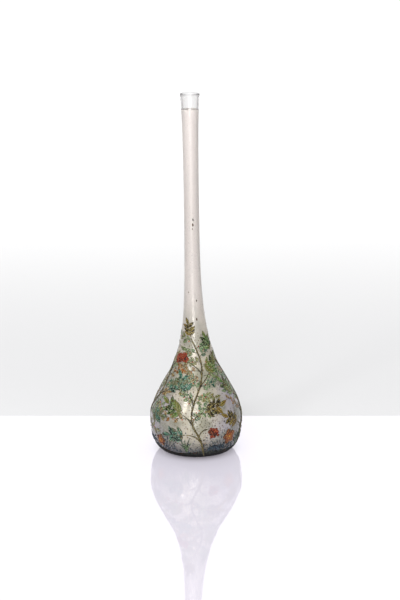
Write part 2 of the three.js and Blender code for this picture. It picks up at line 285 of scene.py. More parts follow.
# Drawings are flat, with X to the right, Y up the glass and Z off it. This lays one on the glass.
def layOn(co, azimuth, length, turn=0):
    turn = math.radians(turn)
    x = co[:, 0] * math.cos(turn) - co[:, 1] * math.sin(turn)
    up = length + co[:, 0] * math.sin(turn) + co[:, 1] * math.cos(turn)
    r, z = raised(up, co[:, 2])
    return aroundAxis(r, math.radians(azimuth) + x / radiusAt(up), z)


def meshOf(name, bm, reshape=None):
    mesh = bpy.data.meshes.new(name)
    bm.to_mesh(mesh)
    bm.free()
    co = np.zeros(len(mesh.vertices) * 3)
    mesh.vertices.foreach_get("co", co)
    co = co.reshape(-1, 3)
    if reshape:
        co = reshape(co)
    co[:, 0] += swayAt(co[:, 2])
    mesh.vertices.foreach_set("co", co.ravel())
    mesh.polygons.foreach_set("use_smooth", [True] * len(mesh.polygons))
    mesh.update()
    return mesh


def addPiece(name, mesh, material, slot, *nodes):
    piece = bpy.data.objects.new(name, mesh)
    scene.collection.objects.link(piece)
    mesh.materials.append(material)
    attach(piece, "root")
    if nodes:
        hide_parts(*nodes)


# Glass: profiles turned about the axis
glass = {
    "around": 128,
    "casing": 0.8 * mm,
    "casingStart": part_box("frosted_casing")[0].z,
    "casingSteps": 110,
    "clearRim": 14.5 * mm,
    "feather": 8 * mm,  # the casing thins out over this length under the clear rim,
    "featherEnd": 0.05,  # to this share of its thickness
    "seat": 0.02 * mm,
    "edgeStep": 0.05 * mm,
    "coveredSteps": 90,
    "walls": [(0, 8), (33, 3.2), (242, 2.1), (350, 1.8)],  # heights and thicknesses in mm
    "floor": 8 * mm,
    "floorCorner": 2 * mm,
    "floorTurn": 6,
    "floorSteps": 14,
    "rimRound": 0.85 * mm,
    "restingRing": 8 * mm,
    "kickUp": 2.6 * mm,
    "kickUpSteps": 12,
}
casingEnd = lengthAt(vase["height"] - glass["clearRim"])


def turnedBody(profile, closed=False, around=glass["around"]):
    bm = bmesh.new()
    verts = [bm.verts.new((r, 0, z)) for r, z in profile]
    ends = verts[1:] + verts[:1] if closed else verts[1:]
    edges = [bm.edges.new(pair) for pair in zip(verts, ends)]
    bmesh.ops.spin(bm, geom=verts + edges, cent=(0, 0, 0), axis=(0, 0, 1), angle=2 * math.pi,
                   steps=around, use_merge=True)
    bmesh.ops.remove_doubles(bm, verts=bm.verts, dist=1e-7)
    bmesh.ops.recalc_face_normals(bm, faces=bm.faces)
    return bm


def casingAt(length):
    fade = [casingEnd - glass["feather"], casingEnd]
    return glass["casing"] * float(np.interp(length, fade, [1, glass["featherEnd"]]))


def wallAt(z):
    heights, walls = zip(*glass["walls"])
    return np.interp(z / mm, heights, walls) * mm


def rounded(middle, radius, first, last, steps=6):
    turns = np.radians(np.linspace(first, last, steps))
    return [(middle[0] + radius * math.cos(t), middle[1] + radius * math.sin(t)) for t in turns]


# Lengths from one edge to another, with a step close to each, so that smooth normals bend only there
def lengthsBetween(first, last, steps):
    near = glass["edgeStep"]
    return [first, *np.linspace(first + near, last - near, steps), last]


# From under the middle of the foot, up the outside, over the lip and down to the middle of the floor
def gatherProfile():
    g = glass
    top = vase["height"]
    start = lengthAt(g["casingStart"])
    near = g["edgeStep"]
    ring = vase["foot"] - g["restingRing"]
    turns = np.linspace(0, math.pi / 2, g["kickUpSteps"])
    underFoot = [(ring * math.sin(t), g["kickUp"] * math.cos(t)) for t in turns]
    heel = [tuple(p) for p, length in zip(skin, skinLengths) if length < start]
    under = lengthsBetween(start, casingEnd, g["coveredSteps"])
    covered = [raised(length, -casingAt(length) - g["seat"]) for length in under]
    upper = (skinLengths > casingEnd + 2 * near) & (skin[:, 1] < top - 2 * g["rimRound"])
    clearBand = [raised(length, 0) for length in (casingEnd, casingEnd + near, *skinLengths[upper])]
    lipOut = (vase["rim"] - g["rimRound"], top - g["rimRound"])
    lipIn = (vase["rim"] - float(wallAt(top)) + g["rimRound"], top - g["rimRound"])
    lip = rounded(lipOut, g["rimRound"], 0, 90) + rounded(lipIn, g["rimRound"], 90, 180)[1:]
    inside = [raised(length, -wallAt(z)) for length, z in zip(skinLengths, skin[:, 1])
              if g["floor"] + g["floorCorner"] < z < top - 2 * g["rimRound"]]
    corner = inside[0]
    rise = corner[1] - g["floor"]
    bowl = [(corner[0] * s, g["floor"] + g["kickUp"] * (1 - s) + rise * s ** g["floorTurn"])
            for s in np.linspace(0, 1, g["floorSteps"])[:-1]]
    return underFoot + heel + covered + clearBand + lip + inside[::-1] + bowl[::-1]


def casingProfile():
    low, high = lengthAt(glass["casingStart"]), casingEnd
    lowRound, highRound = casingAt(low) / 2, casingAt(high) / 2
    run = lengthsBetween(low + lowRound, high - highRound, glass["casingSteps"])
    outside = [raised(length, 0) for length in run]
    inside = [raised(length, -casingAt(length)) for length in run]
    return [raised(low, -lowRound), *outside, raised(high, -highRound), *inside[::-1]]


# Clear glass: faintly rippled, and blurred a little at the fire-polished lip
clearFinish = {
    "tints": ("fdfdfd", "ffffff"),
    "roughness": (0.05, 0.12),
    "rippleScale": 60,
    "ripple": 0.1 * mm,
    "rippleStrength": 0.3,
    "lipHeights": (346 * mm, 349.2 * mm),
    "lipRoughness": 0.3,
    "ior": 1.5,
    "inner": ("c8c2c0", 80),
}


def clearGlass():
    c = clearFinish
    material, tree = newMaterial("clear glass")
    at = place(tree)
    ripple = cloud(tree, at, c["rippleScale"], 2)
    lip = ranged(axisOf(at, "Z"), *c["lipHeights"])
    return surfaced(material, {
        "Base Color": mixed(ripple, *[srgb(code) for code in c["tints"]]),
        "Roughness": spreadTo(ripple, c["roughness"]) + lip * c["lipRoughness"],
        "IOR": c["ior"],
        "Transmission Weight": 1.0,
        "Normal": bumped(ripple, c["ripple"], c["rippleStrength"]),
    }, inner=c["inner"])


# Frosted skin: rosy white on the neck, smoky cream on the bulb with violet-grey painted shade to its
# left and right sides, darker at the heel, with fine brown specks drifted over the bulb
frosting = {
    "neck": ("f5efe9", "fff9f4"),
    "neckHeights": (200 * mm, 330 * mm),
    "bulbHeights": (85 * mm, 165 * mm),
    "glassyHeights": (100 * mm, 200 * mm),
    # the bulb's cream, then the violet-grey of the painted shade on its sides, over these distances from
    # the middle
    "smoke": ("ede5cd", "d3ced6"),
    "sideShadeSpan": (30 * mm, 62 * mm),
    "sideShadeWander": 50 * mm,
    "sideShadeWanderScale": 17,
    "pale": ("f1ede4", 0.55),
    "green": ("a3a68c", 0.6),
    "greenScale": 42,
    "heel": ("54565e", 0.9),
    "heelHeights": (8 * mm, 34 * mm),
    "heelWander": 8 * mm,
    "specks": ("6a4e2c", 0.75),
    "speckScale": 430,
    "driftScale": 30,
    "mottleScale": 330,
    "grainScale": 2200,
    "neckRoughness": (0.27, 0.37),
    "neckClear": 0.6,
    "neckBump": 0.02 * mm,
    "bulbRoughness": (0.1, 0.24),
    "bulbClear": 0.66,
    "bulbBump": 0.08 * mm,
    "bumpStrength": 0.5,
    "ior": 1.45,
    "inner": ("b8aa9c", 190),
}


def frostedGlass():
    f = frosting
    material, tree = newMaterial("frosted glass")
    at = place(tree)
    height = axisOf(at, "Z")
    mottle = cloud(tree, at, f["mottleScale"], 3, 0.7)
    grain = cloud(tree, at, f["grainScale"], 2)
    bulb = 1 - ranged(height, *f["bulbHeights"])
    heel = 1 - ranged(height + mottle * f["heelWander"], *f["heelHeights"])
    # Painted shade: violet-grey grows with distance along X, so the bulb's left and right edges look
    # darker
    aside = axisOf(at, "X").math("ABSOLUTE") + cloud(tree, at, f["sideShadeWanderScale"], 2) * f["sideShadeWander"]
    smoke = mixed(ranged(aside, *f["sideShadeSpan"]), *[srgb(code) for code in f["smoke"]])
    smoke = washed(smoke, ranged(mottle, 0.4, 0.7), f["pale"])
    smoke = washed(smoke, ranged(cloud(tree, at, f["greenScale"], 2), 0.46, 0.62), f["green"])
    neck = mixed(ranged(height, *f["neckHeights"]), *[srgb(code) for code in f["neck"]])
    drifts = ranged(cloud(tree, at, f["driftScale"], 2), 0.48, 0.6) * bulb
    specks = (1 - ranged(cells(tree, at, f["speckScale"]), 0.18, 0.32)) * drifts
    colour = washed(mixed(bulb, neck, smoke), heel, f["heel"])
    colour = washed(colour, specks, f["specks"])

    def skinOf(part, texture):
        return {
            "Base Color": colour,
            "Roughness": spreadTo(texture, f[part + "Roughness"]),
            "IOR": f["ior"],
            "Transmission Weight": f[part + "Clear"],
            "Normal": bumped(texture, f[part + "Bump"], f["bumpStrength"]),
        }

    neckSkin, bulbSkin = skinOf("neck", grain), skinOf("bulb", mottle)
    glassy = 1 - ranged(height, *f["glassyHeights"])
    return surfaced(material, neckSkin, f["inner"], glassy, bulbSkin)


gather = meshOf("clearGather", turnedBody(gatherProfile()))
addPiece("clearGather", gather, clearGlass(), "clear_glass", "clear_gather")
casing = meshOf("frostedCasing", turnedBody(casingProfile(), closed=True))
addPiece("frostedCasing", casing, frostedGlass(), "frosted_glass", "frosted_casing")
print("glass made")


# Enamel: every deposit is drawn flat, in metres, then laid on the glass with its lower half sunk in a
# little. The layout is the frame's own: a sprig on each of four sides.
sprigField = {
    "start": lengthAt(9 * mm),
    "end": lengthAt(132 * mm),
    "sink": 0.12 * mm,
}

# A place is degrees aside and a share of the way up the field, and the stem is a row of places. A leaf
# has the share of the stem where its twig forks, its place, heading, size and colour. Berries have the
# same but the colour, a blossom its place, heading and size, and moss and grass their degrees aside.
climbing = {
    "stem": [(13, -0.06), (6, 0.1), (-5, 0.24), (-4, 0.37), (10, 0.54), (16, 0.69), (-8, 0.85)],
    "leaves": [
        (0.12, (-13, 0.15), 96, 1.15, "teal"),
        (0.28, (-18, 0.3), 62, 1.25, "green"),
        (0.45, (-13, 0.46), 30, 1.1, "teal"),
        (0.3, (11, 0.32), -74, 1.15, "olive"),
        (0.6, (31, 0.6), -34, 1.05, "green"),
        (0.97, (-16, 0.88), 14, 0.85, "olive"),
    ],
    "berries": [(0.2, (16, 0.19), -125, 1.1), (0.7, (-22, 0.7), 55, 1)],
    "blossom": ((46, 0.11), 12, 1.1),
    "moss": 27,
    "grass": -13,
}
spreading = {
    "stem": [(-10, -0.06), (-15, 0.11), (-3, 0.27), (16, 0.41), (12, 0.57), (-17, 0.7)],
    "leaves": [
        (0.2, (-25, 0.2), 60, 1.05, "olive"),
        (0.44, (-8, 0.4), 34, 1.2, "green"),
        (0.3, (14, 0.25), -86, 1.1, "teal"),
        (0.6, (34, 0.46), -44, 1.05, "teal"),
        (0.97, (-30, 0.77), 12, 0.9, "green"),
    ],
    "berries": [(0.78, (22, 0.68), -40, 1)],
    "blossom": ((36, 0.07), -12, 0.9),
    "moss": 7,
    "grass": -22,
}
sprigs = {
    "front": (climbing, 0),
    "right": (spreading, 88),
    "back": (climbing, 180),
    "left": (spreading, 272),
}


def wayUp(way):
    return sprigField["start"] + way * (sprigField["end"] - sprigField["start"])


def fieldPoint(degrees, way):
    length = wayUp(way)
    return Vector((math.radians(degrees) * radiusAt(length), length - sprigField["start"]))


# A drawing under way: its mesh, and the layers that the enamel's colours follow. Each bit is made in a
# small mesh of its own and added, which is much quicker than working on the whole.
class Drawing:
    layers = ("along", "across", "tone")

    def __init__(self):
        self.whole = self.fresh()
        self.bit = bpy.data.meshes.new("bit")

    def fresh(self):
        bm = bmesh.new()
        for layer in self.layers:
            bm.verts.layers.float.new(layer)
        return bm

    # Moves a bit's points to where a form puts them, with their shares along and across it, and adds it
    def added(self, bm, form, tone):
        along, across, toned = [bm.verts.layers.float[layer] for layer in self.layers]
        for vert in bm.verts:
            vert.co, vert[along], vert[across] = form(vert.co.copy())
            vert[toned] = tone
        bm.to_mesh(self.bit)
        bm.free()
        self.whole.from_mesh(self.bit)

    # A closed blob: a sphere with two poles, which a form makes a leaflet, a petal, a berry or a drop
    def blob(self, form, tone, around=12, rings=10):
        bm = self.fresh()
        bmesh.ops.create_uvsphere(bm, u_segments=around, v_segments=rings, radius=1)
        self.added(bm, form, tone)

    # A limb: a grid rolled up along a path, pinched shut at both ends, as a stem or a blade
    def limb(self, path, widths, thick, tone, around=8, crease=0):
        path = np.array(path)
        runs = directionsAlong(path)
        steps = len(path) - 1
        sink = sprigField["sink"]

        def form(co):
            share = (co.x + 1) / 2
            i = round(share * steps)
            turn = math.pi * (co.y + 1)
            side, up = math.cos(turn), math.sin(turn)
            pinch = 0 if i in (0, steps) else 1
            half = widths[i] / 2 * pinch
            tall = up * (thick * (1 - crease * (1 - abs(side))) if up > 0 else sink) * pinch
            x = path[i][0] - runs[i][1] * side * half
            y = path[i][1] + runs[i][0] * side * half
            return Vector((x, y, tall)), share, side

        bm = self.fresh()
        bmesh.ops.create_grid(bm, x_segments=steps, y_segments=around, size=1)
        self.added(bm, form, tone)

    def laidAs(self, name, azimuth, length, turn=0):
        bmesh.ops.remove_doubles(self.whole, verts=self.whole.verts, dist=1e-7)
        bmesh.ops.recalc_face_normals(self.whole, faces=self.whole.faces)
        bpy.data.meshes.remove(self.bit)
        return meshOf(name, self.whole, lambda co: layOn(co, azimuth, length, turn))


def turned(x, y, degrees):
    turn = math.radians(degrees)
    return x * math.cos(turn) - y * math.sin(turn), x * math.sin(turn) + y * math.cos(turn)


def headingOf(run):
    return math.degrees(math.atan2(-run.x, run.y))


# Half the width of a leaflet or petal at a share of its length, pointed at both ends
def halfWidth(width, share, lean, fullness):
    return width / 2 * math.sin(math.pi * share ** lean) ** fullness if 0 < share < 1 else 0


def tapered(width, loss, count):
    return [width * (1 - loss * i / (count - 1)) for i in range(count)]


# The form of a flat blade of enamel: "half" gives its half width at each share of its length, and its
# crown is creased along the middle
def bladeForm(at, heading, length, half, relief, crease=0.35, curl=0):
    sink = sprigField["sink"]

    def form(co):
        ring = math.hypot(co.x, co.y)
        side, up = (co.x / ring, co.y / ring) if ring > 1e-5 else (0, 0)
        share = (co.z + 1) / 2
        fold = 1 - crease * math.exp(-(side / 0.25) ** 2)
        tall = relief * up ** 0.7 * fold if up > 0 else sink * up
        x, y = turned(side * half(share) + curl * share ** 2 * length, share * length, heading)
        return Vector((at[0] + x, at[1] + y, tall)), share, side

    return form


# The form of a low drop: along runs from its crown to its rim, and across counts five lobes round it
def dropForm(at, radius, relief, stretch=1, heading=0):
    sink = sprigField["sink"]

    def form(co):
        x, y = turned(co.x * radius, co.y * radius * stretch, heading)
        tall = relief * co.z if co.z > 0 else sink * co.z
        lobe = math.cos(5 * math.atan2(co.y, co.x))
        return Vector((at[0] + x, at[1] + y, tall)), math.hypot(co.x, co.y), lobe

    return form


# Leaves: leaflets in pairs along a stalk, and one at its tip
leafMake = {
    "relief": 0.62 * mm,
    "length": 8.6 * mm,
    "width": 4.1 * mm,
    "shape": (0.8, 0.8),
    "pairs": 3,
    "pitch": 4.3 * mm,
    "lean": 54,
    "stalkLength": 3 * mm,
    "stalkWidth": 1.1 * mm,
    "stalkTaper": 0.4,
    "stalkPoints": 11,
    "teeth": 7,
    "toothDepth": 0.13,
    "around": 12,
    "rings": 16,
}


def leafDrawing(size, seed):
    m = leafMake
    rng = random.Random(seed)
    drawing = Drawing()
    tip = (m["stalkLength"] + m["pairs"] * m["pitch"]) * size
    stalk = [(0, tip * i / (m["stalkPoints"] - 1)) for i in range(m["stalkPoints"])]
    widths = tapered(m["stalkWidth"] * size, m["stalkTaper"], m["stalkPoints"])
    drawing.limb(stalk, widths, m["relief"] * 0.8, 1)

    def half(share):
        teeth = 1 + m["toothDepth"] * math.sin(2 * math.pi * m["teeth"] * share)
        return halfWidth(m["width"] * size, share, *m["shape"]) * teeth

    def leaflet(at, heading, scale):
        length = m["length"] * size * scale
        curl = rng.uniform(-0.12, 0.12)
        relief = m["relief"] * rng.uniform(0.85, 1)
        form = bladeForm(at, heading, length, half, relief, curl=curl)
        drawing.blob(form, rng.random(), m["around"], m["rings"])

    for i in range(m["pairs"]):
        y = (m["stalkLength"] + i * m["pitch"]) * size
        for side in (-1, 1):
            leaflet((0, y), side * m["lean"] + rng.uniform(-7, 7), rng.uniform(0.9, 1.05))
    leaflet((0, tip - m["stalkWidth"]), rng.uniform(-6, 6), 1)
    return drawing


# Berries: a bunch in rows, each row nested in the one below
berryMake = {
    "relief": 1.0 * mm,
    "radius": 1.5 * mm,
    "pitch": 2.55 * mm,
    "rows": (2, 3, 4, 3, 1),
}


def berryDrawing(size, seed):
    m = berryMake
    rng = random.Random(seed)
    drawing = Drawing()
    pitch = m["pitch"] * size
    for row, count in enumerate(m["rows"]):
        y = row * pitch * math.sin(math.radians(60)) + m["radius"]
        for i in range(count):
            x = (i - (count - 1) / 2 + rng.uniform(-0.1, 0.1)) * pitch
            radius = m["radius"] * size * rng.uniform(0.9, 1.05)
            relief = m["relief"] * rng.uniform(0.8, 1)
            form = dropForm((x, y), radius, relief, heading=rng.uniform(0, 72))
            drawing.blob(form, rng.random(), 14, 10)
    return drawing


# Blossoms: ribbed petals round an eye with stamens
blossomMake = {
    "relief": 0.7 * mm,
    "petals": 5,
    "petalLength": 7.4 * mm,
    "petalWidth": 6.0 * mm,
    "petalShape": (1.25, 0.7),
    "petalRipple": 0.06,
    "eye": 1.7 * mm,
    "eyeTone": 0.85,
    "stamens": 9,
    "stamenRadius": 0.42 * mm,
}


def blossomDrawing(size, seed):
    m = blossomMake
    rng = random.Random(seed)
    drawing = Drawing()

    def half(share):
        ripple = 1 + m["petalRipple"] * math.sin(9 * math.pi * share)
        return halfWidth(m["petalWidth"] * size, share, *m["petalShape"]) * ripple

    for i in range(m["petals"]):
        heading = 360 / m["petals"] * i + rng.uniform(-4, 4)
        length = m["petalLength"] * size * rng.uniform(0.95, 1.03)
        form = bladeForm((0, 0), heading, length, half, m["relief"], crease=0.25)
        drawing.blob(form, rng.uniform(0, 0.6), 16, 14)
    drawing.blob(dropForm((0, 0), m["eye"] * size, m["relief"] * 1.1), m["eyeTone"], 14, 8)
    for i in range(m["stamens"]):
        at = turned(m["eye"] * size * 1.35, 0, 360 * i / m["stamens"] + rng.uniform(-8, 8))
        drawing.blob(dropForm(at, m["stamenRadius"] * size, m["relief"] * 1.25), 1, 8, 5)
    return drawing


# Stems: one trunk, and a twig to each leaf and each bunch of berries
stemMake = {
    "relief": 0.8 * mm,
    "width": 2.1 * mm,
    "twigWidth": 1.3 * mm,
    "tipWidth": 0.8 * mm,
    "curl": 0.4,
    "knots": 0.16,
    "step": 1.3 * mm,
}


def smoothPath(points, step):
    ends = [points[0] * 2 - points[1], *points, points[-1] * 2 - points[-2]]
    path = []
    for p0, p1, p2, p3 in zip(ends, ends[1:], ends[2:], ends[3:]):
        count = max(2, round((p2 - p1).length / step))
        path += interpolate_bezier(p1, p1 + (p2 - p0) / 6, p2 - (p3 - p1) / 6, p2, count + 1)[:-1]
    return np.array([*path, points[-1]])


def trunkPath(design):
    return smoothPath([fieldPoint(*point) for point in design["stem"]], stemMake["step"])


# The point at a share of a path, and the direction there, taken over a millimetre to either side
def alongPath(path, share):
    lengths = lengthsAlong(path)
    far = share * lengths[-1]

    def pointAt(length):
        return Vector([np.interp(length, lengths, path[:, i]) for i in (0, 1)])

    ahead = pointAt(min(far + 1 * mm, lengths[-1]))
    behind = pointAt(max(far - 1 * mm, 0))
    return pointAt(far), (ahead - behind).normalized()


def stemDrawing(design, seed):
    m = stemMake
    rng = random.Random(seed)
    drawing = Drawing()
    trunk = trunkPath(design)

    def grow(path, width, endWidth, thick, tone):
        steps = len(path) - 1
        knots = [1 + m["knots"] * rng.uniform(-1, 1) for _ in path]
        widths = [(width + (endWidth - width) * i / steps) * knot for i, knot in enumerate(knots)]
        drawing.limb(path, widths, thick, tone, around=10)

    grow(trunk, m["width"], m["twigWidth"], m["relief"], 0.5)
    for fork, end, heading, *_ in design["leaves"] + design["berries"]:
        at, run = alongPath(trunk, fork)
        goal = fieldPoint(*end)
        pull = (goal - at).length * m["curl"]
        arriving = Vector(turned(0, 1, heading))
        count = max(4, round((goal - at).length / m["step"]))
        path = interpolate_bezier(at, at + run * pull, goal - arriving * pull, goal, count)
        grow(path, m["twigWidth"], m["tipWidth"], m["relief"] * 0.8, rng.random())
    return drawing


# Undergrowth: thin tendrils off the trunk, in lower relief, with small leaflets to either side and buds
undergrowthMake = {
    "relief": 0.36 * mm,
    "tendrils": 18,
    "forks": (0.3, 0.97),
    "reach": (12 * mm, 34 * mm),
    "shortening": 0.45,
    "spread": (38, 82),
    "bend": 40,
    "tendrilWidth": 0.75 * mm,
    "tendrilTaper": 0.5,
    "tendrilPoints": 16,
    "leafletLength": 6.2 * mm,
    "leafletWidth": 3.6 * mm,
    "leafletShape": (0.75, 0.9),
    "leafletShares": (0.34, 0.48, 0.62, 0.76, 0.88),
    "leafletTurn": 52,
    "leafletTone": 0.8,
    "buds": 2,
    "bud": 0.85 * mm,
    "budTone": 0.92,
}


def undergrowthDrawing(design, seed):
    m = undergrowthMake
    rng = random.Random(seed)
    drawing = Drawing()
    trunk = trunkPath(design)
    low, high = m["forks"]

    def half(share):
        return halfWidth(m["leafletWidth"], share, *m["leafletShape"])

    def addLeaflets(path, shade):
        for i, share in enumerate(m["leafletShares"]):
            here, onward = alongPath(path, share)
            turn = m["leafletTurn"] if i % 2 else -m["leafletTurn"]
            heading = headingOf(onward) + turn + rng.uniform(-12, 12)
            length = m["leafletLength"] * rng.uniform(0.7, 1.15)
            form = bladeForm(here, heading, length, half, m["relief"], curl=rng.uniform(-0.15, 0.15))
            tone = shade * m["leafletTone"] + rng.uniform(-0.12, 0.12)
            drawing.blob(form, min(m["leafletTone"], max(0, tone)), 10, 8)

    def addBuds(path):
        for share in rng.sample(m["leafletShares"], m["buds"]):
            here, onward = alongPath(path, share)
            at = here + Vector(turned(*onward, 90)) * m["bud"]
            form = dropForm(at, m["bud"] * rng.uniform(0.7, 1.1), m["relief"])
            drawing.blob(form, m["budTone"], 8, 5)

    for i in range(m["tendrils"]):
        side = 1 if i % 2 else -1
        at, run = alongPath(trunk, low + (high - low) * i / (m["tendrils"] - 1))
        reach = rng.uniform(*m["reach"]) * (1 - m["shortening"] * i / m["tendrils"])
        spread = rng.uniform(*m["spread"])
        goal = at + Vector(turned(*run, side * spread)) * reach
        arriving = Vector(turned(*run, side * (spread + rng.uniform(-1, 1) * m["bend"])))
        handles = (at, at + run * reach * 0.3, goal - arriving * reach * 0.4, goal)
        path = np.array(interpolate_bezier(*handles, m["tendrilPoints"]))
        shade = rng.random()
        widths = tapered(m["tendrilWidth"], m["tendrilTaper"], m["tendrilPoints"])
        drawing.limb(path, widths, m["relief"], 1, around=6)
        addLeaflets(path, shade)
        addBuds(path)
        form = bladeForm(goal, headingOf(arriving), m["leafletLength"] * 1.1, half, m["relief"])
        drawing.blob(form, shade * m["leafletTone"], 10, 8)
    return drawing


# Moss and grass at the foot
growthMake = {
    "tuftRadii": (2.2 * mm, 3.1 * mm, 2.6 * mm, 3.4 * mm),
    "tuftHeight": 13 * mm,
    "closeness": 0.7,
    "stagger": 0.5,
    "lumps": 22,
    "lump": 0.75 * mm,
    "mossRelief": 1.1 * mm,
    "strays": 260,
    "strayReach": (22 * mm, 14 * mm),
    "strayRelief": 0.45,
    "driftAside": -46 * mm,
    "blades": [(-24, 18), (-5, 14.8), (14, 18), (-34, 11), (25, 12.5), (4, 9.5)],  # degrees and mm
    "bladeWidth": 1.5 * mm,
    "bladeTaper": 0.75,
    "bladeRelief": 0.7 * mm,
    "bladePoints": 15,
}


def mossDrawing(seed):
    m = growthMake
    rng = random.Random(seed)
    drawing = Drawing()
    radii = m["tuftRadii"]
    middles = [0]
    for before, after in zip(radii, radii[1:]):
        middles.append(middles[-1] + m["closeness"] * (before + after))
    for i, (radius, middle) in enumerate(zip(radii, middles)):
        for _ in range(m["lumps"]):
            far = radius * math.sqrt(rng.random()) * 0.88
            x, y = turned(far, 0, rng.uniform(0, 360))
            at = (middle - middles[-1] / 2 + x, (i % 2) * radius * m["stagger"] + y)
            relief = m["mossRelief"] * (1 - 0.5 * (far / radius) ** 2) * rng.uniform(0.7, 1)
            drawing.blob(dropForm(at, m["lump"] * rng.uniform(0.7, 1.3), relief), rng.random(), 8, 5)
    reachAside, reachUp = m["strayReach"]
    for i in range(m["strays"]):
        x = (m["driftAside"] if i % 2 else 0) + rng.gauss(0, 0.5) * reachAside
        y = (abs(rng.gauss(0, 0.6)) - 0.4) * reachUp
        radius = m["lump"] * rng.uniform(0.35, 0.9)
        form = dropForm((x, y), radius, m["mossRelief"] * m["strayRelief"], rng.uniform(1, 1.6))
        drawing.blob(form, rng.random(), 8, 5)
    return drawing


def grassDrawing(seed):
    m = growthMake
    rng = random.Random(seed)
    drawing = Drawing()
    count = m["bladePoints"]
    widths = [m["bladeWidth"] * (1 - m["bladeTaper"] * (i / (count - 1)) ** 1.5) for i in range(count)]
    for lean, long in m["blades"]:
        tip = turned(0, long * mm, -lean)
        bend = (tip[0] * 0.2, tip[1] * 0.6)
        path = [(2 * (1 - t) * t * bend[0] + t * t * tip[0], 2 * (1 - t) * t * bend[1] + t * t * tip[1])
                for t in np.linspace(0, 1, count)]
        drawing.limb(path, widths, m["bladeRelief"], rng.random(), crease=0.4)
    return drawing


# Ground: a pebbly ring of enamel round the heel, whose upper edge rises and falls
groundMake = {
    "relief": 0.75 * mm,
    "start": 2.4 * mm,
    "height": 9 * mm,
    "swell": 2.4 * mm,
    "waves": [(3, 0.6, 0), (5, 0.4, 1)],  # count, weight and phase
    "edge": 6,
    "around": 288,
    "rows": 18,
    "pebbles": 0.22 * mm,
    "pebbleScale": 420,
}


# The ring is turned about a core of 1 m and 1 m tall, then bent to the glass.
def groundMesh():
    m = groundMake
    core = 1.0
    shares = np.linspace(0, 1, m["rows"] + 1)
    outside = [(core + m["relief"] * min(1, m["edge"] * s, m["edge"] * (1 - s)), s) for s in shares]
    inside = [(core - sprigField["sink"], s) for s in shares[::-1]]

    def reshape(co):
        azimuth = np.arctan2(co[:, 0], -co[:, 1])
        waves = sum(weight * np.sin(count * azimuth + phase) for count, weight, phase in m["waves"])
        low = lengthAt(m["start"])
        high = lengthAt(m["height"]) + m["swell"] * waves
        length = low + (high - low) * co[:, 2]
        off = np.hypot(co[:, 0], co[:, 1]) - core
        r, z = raised(length, off)
        at = aroundAxis(r, azimuth, z)
        bumps = np.array([noise.noise(Vector(p) * m["pebbleScale"]) for p in at])
        r, z = raised(length, np.where(off > 0, off + bumps * m["pebbles"] * off / m["relief"], off))
        return aroundAxis(r, azimuth, z)

    ring = turnedBody(outside + inside, closed=True, around=m["around"])
    return meshOf("groundBand", ring, reshape)


# Spatter: small drops of brown enamel flicked over the bulb, and a few specks up the neck
spatterMake = {
    "drops": 900,
    "radii": (0.2 * mm, 0.62 * mm),
    "relief": 0.3 * mm,
    "heights": (9 * mm, 128 * mm, 31 * mm),  # lowest, highest and most common
    "frontShare": 0.5,
    "front": (8, 30),  # middle and spread in degrees
    "specks": [  # degrees, mm up and mm of radius
        (14, 134, 0.7), (-22, 128, 0.5), (20, 152, 0.55), (8, 226, 0.75), (10, 231, 0.6), (4, 222, 0.4),
        (-30, 160, 0.4), (150, 170, 0.6), (200, 142, 0.5), (250, 150, 0.45), (100, 138, 0.5),
    ],
    "speckStretch": 2.2,
}


def spatterDrawing():
    m = spatterMake
    rng = random.Random(11)
    drawing = Drawing()
    drops = []
    for _ in range(m["drops"]):
        z = rng.triangular(*m["heights"])
        degrees = rng.gauss(*m["front"]) if rng.random() < m["frontShare"] else rng.uniform(-180, 180)
        radius = rng.triangular(*m["radii"], m["radii"][0])
        drops.append((degrees, z, radius, rng.uniform(1, 1.8)))
    drops += [(degrees, z * mm, radius * mm, m["speckStretch"]) for degrees, z, radius in m["specks"]]
    for degrees, z, radius, stretch in drops:
        length = lengthAt(z)
        at = (math.radians(degrees) * float(radiusAt(length)), length)
        form = dropForm(at, radius, m["relief"], stretch, rng.uniform(-25, 25))
        drawing.blob(form, rng.random(), 7, 4)
    return drawing


# Finishes of the enamel: fired colours that pooled unevenly, with dark lines drawn over them
enamelColours = {
    "teal": ("081712", "2f5a49", "98bca2"),
    "green": ("101c0a", "4a6a34", "b0be88"),
    "olive": ("181408", "665a26", "bca968"),
    "berry": ("2c0a06", "6e200c", "ac5a2c"),
    "amber": ("34160a", "6c3c1a", "aa7c46"),
    "stem": ("17130c", "51482a", "8f8250"),
    "moss": ("0b1016", "1d2836", "566a72"),
    "grass": ("1b2a20", "465c3e", "8a9a72"),
    "ground": ("07090b", "1d2122", "54584f"),
    "spatter": ("23160a", "503518", "83622f"),
}
firing = {
    "line": "100e08",
    "poolScale": 420,
    "grainScale": 900,
    "ior": 1.33,
    "roughness": (0.14, 0.4),
}


# Pools of about 2 mm, and a grain of about 1 mm
def firedClouds(tree):
    at = place(tree)
    return cloud(tree, at, firing["poolScale"], 3), cloud(tree, at, firing["grainScale"], 3, 0.7)


# Three shades run into each other
def firedColours(tree, name, tone):
    deep, body, light = [srgb(code) for code in enamelColours[name]]
    pools, grain = firedClouds(tree)
    colour = mixed(ranged(pools + (tone - 0.5) * 0.5, 0.38, 0.54), deep, body)
    colour = mixed(ranged(grain, 0.5, 0.64) * 0.8, colour, light)
    return colour, pools, grain


def lined(colour, share):
    return mixed(share, colour, srgb(firing["line"]))


def enamelled(material, colour, grain, height, bump, ior=firing["ior"], roughness=firing["roughness"]):
    return surfaced(material, {
        "Base Color": colour,
        "Roughness": spreadTo(grain, roughness),
        "IOR": ior,
        "Normal": bumped(height, bump),
    })


# Leaves: patches of rust, and a dark midrib, slanting side veins and an outline
leafPaint = {
    "rust": ("7a5a2c", 0.45),
    "rustScale": 130,
    "midrib": (0.06, 0.2),
    "veins": 6,
    "veinSlant": 1.3,
    "outline": (0.74, 0.92),
    "bump": 0.12 * mm,
}


